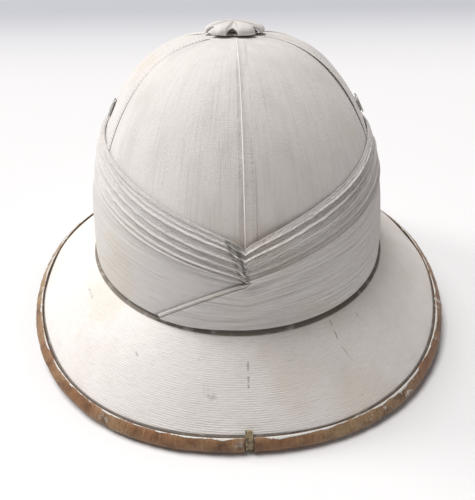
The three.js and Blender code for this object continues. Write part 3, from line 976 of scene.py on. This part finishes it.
# Folds of a bundle, from its lowest one up: share of the bundle's width, and relief as a share.
FOLDS = {
    "left": (
        (0.10, 0.9), (0.08, 0.6), (0.12, 0.9), (0.07, 0.5), (0.13, 1.0),
        (0.08, 0.55), (0.11, 0.85), (0.07, 0.5), (0.10, 0.7), (0.05, 0.15),
    ),
    "right": (
        (0.09, 0.8), (0.12, 1.0), (0.07, 0.5), (0.10, 0.8), (0.08, 0.5),
        (0.13, 1.0), (0.07, 0.45), (0.10, 0.8), (0.11, 0.9), (0.06, 0.8),
    ),
}


def fold_rows(folds):
    """The share at which each fold starts, and its relief."""
    widths = np.array([width for width, _ in folds])
    starts = np.concatenate([[0], np.cumsum(widths) / widths.sum()])
    return starts, np.array([relief for _, relief in folds])


def fold_place(share, starts):
    """Which fold a share lies in, and how far up it."""
    fold = np.clip(np.searchsorted(starts, share, side="right") - 1, 0, len(starts) - 2)
    return fold, np.clip((share - starts[fold]) / (starts[fold + 1] - starts[fold]), 0, 1)


def fold_profile(share, starts, reliefs):
    """Relief of a bundle from its lowest fold (0) to its top (1): each fold hangs over the next."""
    fold, within = fold_place(share, starts)
    rise = np.sin(np.clip(within / 0.12, 0, 1) * math.pi / 2)
    crease = 0.28 * bell(within, 0.55, 0.10)
    fall = 1 - 0.8 * np.clip((within - 0.12) / 0.88, 0, 1) ** 1.2 - crease
    return reliefs[fold] * np.where(within < 0.12, rise, fall)


def pleat_bundle(name, start, seed, folds, relief):
    starts, reliefs = fold_rows(folds)

    def surface(u, share):
        lap = (1 - u) ** 40
        tuck = u**60
        within = fold_place(share, starts)[1]
        point_back = -(0.066 * share + 0.012 + 0.024 * (within - 0.5)) * lap
        azimuth = start + u * math.pi + point_back - 0.004 * tuck
        low = pleats_low(azimuth)
        return dome_point_at_height(azimuth, low + (wrap_top(azimuth) - low) * share)

    vs = []
    for low, high in zip(starts[:-1], starts[1:]):
        steps = np.array([0.0, 0.04, 0.08, 0.13, 0.28, 0.43, 0.55, 0.67, 0.82, 0.95])
        vs += list(low + (high - low) * steps)
    vs = np.array(vs + [1.0])
    us = stations((0, 0.012, 10), (0.012, 0.08, 40), (0.08, 1, 240))

    def lift(u):
        return 1.5 * (1 - smooth((u - 0.03) / 0.07))

    def far(u, v):
        wander = 0.022 * waves(u * 26, v * 5, seed, count=6, low=0.4, high=1.4)
        wander = wander + 0.008 * waves(u * 80, v * 9, seed + 3)
        profile = fold_profile(np.clip(v + wander * np.sin(v * math.pi), 0, 1), starts, reliefs)
        uneven = 1 + 0.5 * waves(u * 16 + v * 5, v * 16, seed + 1, count=7, low=0.4, high=1.5)
        end = edge_round(u * HALF_TURN, 2.6) * edge_round((1 - u) * HALF_TURN, 1.2)
        body = 0.6 + relief * profile * np.clip(uneven, 0.4, 1.5)
        return GAP + lift(u) + np.maximum(body, 0.3) * (0.25 + 0.75 * end)

    muslin = wrap_cloth("pleated_muslin", ((2.6, 560.0, 1.0), 0.0013))
    piece = cloth_wall(name, surface, us, vs, lambda u, v: GAP + lift(u) * 0.96, far, muslin, sharp=60)
    return piece, cloth_area(us, vs, surface)


class HELMET_OT_wrap(bpy.types.Operator):
    """Builds the wrap: two plain bands that cross, and a bundle of pleats above each"""

    bl_idname = "helmet.wrap"
    bl_label = "Pleated wrap"

    def execute(self, context):
        for side, start, seed in (("left", 0.0, 51), ("right", math.pi, 61)):
            band, (area, width, length) = plain_band(f"wrap_{side}_band_cloth", start, seed)
            finish_piece(band, "wrap_cloth", f"wrap_band_{side}")
            relief = sizes().pleat_relief * 1000
            bundle, (_, width, length) = pleat_bundle(
                f"wrap_{side}_pleats_cloth", start, seed + 5, FOLDS[side], relief
            )
            finish_piece(bundle, "wrap_cloth", f"wrap_pleats_{side}")
            area = sum(face.area for face in bundle.data.polygons) / 2
        return {"FINISHED"}


# Seams

PANELS = 6
WELT_WIDTH = 6.0
# The foot is measured from the top of the wrap, so a welt ends a millimetre under the wrap.
WELT_FOOT_LIFT = -1.0
WELT_TOP_RADIUS = 20.0
STITCHES_ACROSS = 0.76


def welt_surface(azimuth):
    base = crown_base_height(azimuth)
    foot_share = dome_width_share((wrap_top(azimuth) + WELT_FOOT_LIFT - base) / (CROWN["top"] - base))
    top_share = WELT_TOP_RADIUS / crown_base_radius(azimuth)

    def surface(run, across):
        share = top_share + (foot_share - top_share) * np.sin(run * math.pi / 2)
        turn = across * WELT_WIDTH / (crown_base_radius(azimuth) * share)
        return dome_point(azimuth + turn, share)

    return surface


def stitch_tree(name, thread_material):
    """Geometry nodes that sew a row of stitches along a line."""
    tree = bpy.data.node_groups.new(name, "GeometryNodeTree")
    face = tree.interface
    face.new_socket(name="Line", in_out="INPUT", socket_type="NodeSocketGeometry")
    inputs = {}
    for label, default in (("Pitch", 0.0026), ("Length", 0.0019), ("Thread", 0.00022)):
        socket = face.new_socket(name=label, in_out="INPUT", socket_type="NodeSocketFloat")
        socket.default_value = default
        inputs[label] = socket.identifier
    face.new_socket(name="Stitches", in_out="OUTPUT", socket_type="NodeSocketGeometry")
    start, end, curve, resample, stitch, size, half, wobble, place, turn, real, paint = (
        tree.nodes.new(kind)
        for kind in (
            "NodeGroupInput", "NodeGroupOutput", "GeometryNodeMeshToCurve", "GeometryNodeCurveToPoints",
            "GeometryNodeMeshUVSphere", "ShaderNodeCombineXYZ", "ShaderNodeMath", "FunctionNodeRandomValue",
            "GeometryNodeInstanceOnPoints", "GeometryNodeRotateInstances", "GeometryNodeRealizeInstances",
            "GeometryNodeSetMaterial",
        )
    )
    resample.mode = "LENGTH"
    half.operation = "MULTIPLY"
    wobble.data_type = "FLOAT_VECTOR"
    for node, name, value in (
        (stitch, "Segments", 6),
        (stitch, "Rings", 4),
        (stitch, "Radius", 1.0),
        (half, 1, 0.5),
        (wobble, 0, (-0.06, -0.06, -0.06)),
        (wobble, 1, (0.06, 0.06, 0.06)),
        (wobble, "Seed", 7),
        (paint, "Material", thread_material),
    ):
        node.inputs[name].default_value = value
    for source, output, target, entry in (
        (start, "Line", curve, 0),
        (curve, 0, resample, 0),
        (start, "Pitch", resample, "Length"),
        (start, "Length", half, 0),
        (start, "Thread", size, 0),
        (start, "Thread", size, 1),
        (half, 0, size, 2),
        (resample, "Points", place, "Points"),
        (stitch, "Mesh", place, "Instance"),
        (resample, "Rotation", place, "Rotation"),
        (size, 0, place, "Scale"),
        (place, 0, turn, 0),
        (wobble, 0, turn, "Rotation"),
        (turn, 0, real, 0),
        (real, 0, paint, 0),
        (paint, 0, end, 0),
    ):
        tree.links.new(source.outputs[output], target.inputs[entry])
    return tree, inputs


def sewn_lines(name, lines, tree, inputs):
    """One piece with a row of stitches along each line of points, in millimetres."""
    verts, edges = [], []
    for line in lines:
        first = len(verts)
        verts += [tuple(p) for p in to_metres(line)]
        edges += [(first + k, first + k + 1) for k in range(len(line) - 1)]
    mesh = bpy.data.meshes.new(name)
    mesh.from_pydata(verts, edges, [])
    piece = add_object(name, mesh)
    sew = piece.modifiers.new("stitches", "NODES")
    sew.node_group = tree
    sew[inputs["Pitch"]] = sizes().stitch_pitch
    sew[inputs["Length"]] = sizes().stitch_length
    sew[inputs["Thread"]] = sizes().stitch_thread
    apply_modifiers(piece)
    piece.data.shade_smooth()
    return piece


class HELMET_OT_seams(bpy.types.Operator):
    """Builds the felled seams of the crown's panels and sews them"""

    bl_idname = "helmet.seams"
    bl_label = "Crown seams"

    def execute(self, context):
        material = crown_cloth()
        rows = []
        for panel in range(PANELS):
            surface = welt_surface(math.tau * panel / PANELS)
            us = np.linspace(0, 1, 70)
            vs = np.array([0, 0.03, 0.08, 0.2, 0.45, 0.7, 0.85, 0.95, 1.0])
            pressed = 1.0 if panel == 0 else 0.5

            def far(u, v, pressed=pressed):
                inner = edge_round(v * WELT_WIDTH, 0.4)
                ridge = 0.55 * bell(v * WELT_WIDTH, 0.6, 0.5)
                flat = 0.42 * smooth((1 - v) * WELT_WIDTH / 3.2)
                pucker = 0.05 * waves(u * 60, v * 3 + panel, 71)
                ends = faded(u, 0.03, 0.03)
                return 0.1 + (ridge + flat + pucker) * pressed * inner * (0.3 + 0.7 * ends)

            piece = cloth_wall(
                f"crown_seam_{panel + 1}", surface, us, vs, lambda u, v: np.full(u.shape, 0.05),
                far, material, sharp=60,
            )
            finish_piece(piece, "crown_cloth", f"seam_welt_{panel + 1}")
            run = np.linspace(0.02, 0.98, 60)
            place = np.full(run.shape, STITCHES_ACROSS)
            line = surface(run, place)
            normal = surface_normal(surface, run, place, away_from_axis)
            rise = far(run, place) + 0.02
            rows.append(line + normal * rise[:, None])
        thread = built("sewing_thread", canvas, (0.74, 0.72, 0.69), (0.52, 0.50, 0.47))
        tree, inputs = stitch_tree("seam_stitches", thread)
        finish_piece(sewn_lines("crown_seam_stitches", rows, tree, inputs), "crown_cloth")
        return {"FINISHED"}


# Ventilator and eyelets

CAP_ARCHES = 6
CAP_ARCH_TURN = math.radians(-7)
CAP_ARCH_RADIUS = 3.6
CAP_HUB_RADIUS = 0.6


class HELMET_OT_ventilator(bpy.types.Operator):
    """Builds the domed ventilator button with its arched air gaps, its stem and its collet"""

    bl_idname = "helmet.ventilator"
    bl_label = "Ventilator"

    def execute(self, context):
        material = built(
            "vent_drill", white_cloth, colour("cloth"), colour("soiled"), 0.0007, 0.5, 0.0002,
            (90.0, 90.0, 90.0), 0.3,
        )
        centre = np.array([0, CAP_CENTRE_BACK, CROWN["top"] + GAP + CAP["lift"]])
        azimuth = np.linspace(0, math.tau, 289)[:-1, None]
        turn = math.tau / CAP_ARCHES
        off = (azimuth - CAP_ARCH_TURN + turn / 2) % turn - turn / 2
        arch = np.sqrt(np.maximum(0, CAP_ARCH_RADIUS**2 - (off * CAP["radius"]) ** 2))
        first = np.arcsin(np.clip(arch / CAP["height"], 0, 0.95))
        lobes = 1 - 0.05 * bell(off, 0, 0.16)
        share = np.concatenate([[0, 0.02, 0.06], np.linspace(0.12, 1, 22)])[None, :]
        angle = first + (math.pi / 2 - first) * share
        lumps = 0.12 * waves(azimuth * 5, share * 4, 81) * smooth((1 - share) / 0.2)
        puff = (1 - 1.6 * bell(off, 0, 0.2)) * np.sin(math.pi * share**0.7)
        bulge = bell(np.abs(off), 0.42, 0.22) * bell(share, 0.2, 0.25)
        grids = []
        for inset in (0.0, CAP["wall"]):
            out = (CAP["radius"] - inset) * np.cos(angle) * lobes + lumps
            if inset == 0.0:
                out = out + bulge * 0.6 - 0.5 * (share == 0)
            out = np.maximum(out, CAP_HUB_RADIUS * (1 - share) + 0.02)
            up = (CAP["height"] - inset) * np.sin(angle) + lumps + 0.8 * puff
            grids.append(around(azimuth, out, up) + centre)
        piece = shell("vent_button", grids[0], grids[1], material, True, 60)
        finish_piece(piece, "vent_cloth", "vent_cap")
        top = CAP["height"]
        plug = [(0.01, -8.2), (0.01, top - 0.15), (1.2, top - 0.25), (1.3, top - 1.5)]
        plug += [(5.7, top - 2.4), (6.0, top - 2.9), (6.0, -7.9), (5.7, -8.2)]
        stem = lathe("vent_stem", plug, centre, (0, 0, 1), material)
        finish_piece(stem, "vent_cloth")
        metal = built("vent_paint", dull_metal, (0.62, 0.60, 0.57), (0.30, 0.28, 0.26))
        fold = [(6.3, -6.0), (6.3, 1.0), (6.5, 1.2), (13.4, 1.2)]
        fold += [(14.0, 0.8), (13.9, 0.1), (8.4, 0.0), (8.3, -6.0)]
        collet = lathe("vent_ring", fold, centre - np.array([0, 0, CAP["lift"]]), (0, 0, 1), metal)
        finish_piece(collet, "vent_metal", "vent_collet")
        return {"FINISHED"}


class HELMET_OT_eyelets(bpy.types.Operator):
    """Builds the turned eyelets at the sides of the crown"""

    bl_idname = "helmet.eyelets"
    bl_label = "Side eyelets"

    def execute(self, context):
        metal = built("eyelet_paint", dull_metal, (0.58, 0.56, 0.52), (0.22, 0.20, 0.18))
        hole, flange = EYELET["hole"], EYELET["flange"]
        profile = [(hole, -6.0), (hole, 0.4), (hole + 0.2, 1.0), (hole + 0.8, 1.3)]
        profile += [(flange - 0.7, 1.2), (flange - 0.15, 0.9), (flange, 0.4)]
        profile += [(hole + 0.8, 0.3), (hole + 0.8, -6.0)]
        for side, name in ((1, "left"), (-1, "right")):
            point, normal = eyelet_place(side)
            piece = lathe(f"side_eyelet_{name}", profile, point, normal, metal, segments=48)
            finish_piece(piece, "eyelet_metal", f"eyelet_{name}")
        return {"FINISHED"}


# Stage

FLOOR_REACH = 14.0
# Each light: where it comes from, strength, spread in degrees, tint.
SUNS = {
    "skylight": ((-0.30, 0.24, 0.92), 2.8, 34.0, (1.0, 0.99, 0.98)),
    "window": ((-0.78, 0.34, 0.48), 0.95, 18.0, (1.0, 0.985, 0.965)),
}
SENSOR_WIDTH = 36.0
# The camera's focal length in pixels of a picture that is PICTURE_SIDE high.
FOCAL_PIXELS = 434.5
PICTURE_SIDE = 500.0
CAMERA_PLACE = (-9.0, -286.6, 208.5)
CAMERA_LOOK = (0.0264, 0.8277, -0.5606)
CAMERA_UP = (0.0299, 0.5599, 0.8280)


def soft_sun(name, towards, strength, spread, tint):
    """Even light from one direction, with shadows as soft as its spread in degrees."""
    data = bpy.data.lights.new(name, "SUN")
    data.energy = strength
    data.angle = math.radians(spread)
    data.color = tint
    lamp = add_object(name, data)
    lamp.rotation_euler = Vector(towards).to_track_quat("Z", "Y").to_euler()


class HELMET_OT_stage(bpy.types.Operator):
    """Sets the floor, the soft light and the camera at the photograph's angle"""

    bl_idname = "helmet.stage"
    bl_label = "Stage"

    def execute(self, context):
        material = built("floor_pale", floor_finish, colour("floor"), (0.53, 0.545, 0.60))
        mesh = bpy.data.meshes.new("floor")
        corners = [(x * FLOOR_REACH, y * FLOOR_REACH, 0) for x, y in ((-1, -1), (1, -1), (1, 1), (-1, 1))]
        mesh.from_pydata(corners, [], [(0, 1, 2, 3)])
        mesh.materials.append(material)
        floor = add_object("floor", mesh)
        world = bpy.data.worlds.new("soft_room")
        world.use_nodes = True
        sky = world.node_tree.nodes["Background"]
        sky.inputs["Color"].default_value = (1.0, 0.93, 0.915, 1)
        sky.inputs["Strength"].default_value = 0.18
        bpy.context.scene.world = world
        bpy.context.scene.view_settings.view_transform = "Standard"
        for name, light in SUNS.items():
            soft_sun(name, *light)
        camera = bpy.data.cameras.new("camera")
        camera.sensor_width = SENSOR_WIDTH
        camera.lens = SENSOR_WIDTH * FOCAL_PIXELS / PICTURE_SIDE
        camera.clip_start = 0.01
        look = Vector(CAMERA_LOOK).normalized()
        up = Vector(CAMERA_UP)
        right = look.cross(up).normalized()
        up = right.cross(look)
        turn = Matrix((right, up, -look)).transposed().to_4x4()
        seat = add_object("camera", camera)
        place = to_metres(CAMERA_PLACE)
        seat.matrix_world = Matrix.Translation(Vector(place)) @ turn
        bpy.context.scene.camera = seat
        return {"FINISHED"}


class HELMET_PT_panel(bpy.types.Panel):
    """Lists the helmet's pieces and settings"""

    bl_label = "Helmet"
    bl_idname = "HELMET_PT_panel"
    bl_space_type = "VIEW_3D"
    bl_region_type = "UI"
    bl_category = "Helmet"

    def draw(self, context):
        layout = self.layout
        for group in (context.scene.helmet_sizes, context.scene.helmet_colours):
            for name in group.__annotations__:
                layout.prop(group, name)
        for operator in OPERATORS:
            layout.operator(operator.bl_idname)


OPERATORS = (
    HELMET_OT_stage,
    HELMET_OT_crown,
    HELMET_OT_brim,
    HELMET_OT_binding,
    HELMET_OT_wrap,
    HELMET_OT_seams,
    HELMET_OT_ventilator,
    HELMET_OT_eyelets,
)
CLASSES = (HelmetSizes, HelmetColours, *OPERATORS, HELMET_PT_panel)


def register():
    for cls in CLASSES:
        bpy.utils.register_class(cls)
    bpy.types.Scene.helmet_sizes = bpy.props.PointerProperty(type=HelmetSizes)
    bpy.types.Scene.helmet_colours = bpy.props.PointerProperty(type=HelmetColours)


def unregister():
    del bpy.types.Scene.helmet_colours
    del bpy.types.Scene.helmet_sizes
    for cls in reversed(CLASSES):
        bpy.utils.unregister_class(cls)


def main():
    register()
    for build in (
        bpy.ops.helmet.stage,
        bpy.ops.helmet.crown,
        bpy.ops.helmet.brim,
        bpy.ops.helmet.binding,
        bpy.ops.helmet.wrap,
        bpy.ops.helmet.seams,
        bpy.ops.helmet.ventilator,
        bpy.ops.helmet.eyelets,
    ):
        build()


if __name__ == "__main__":
    main()
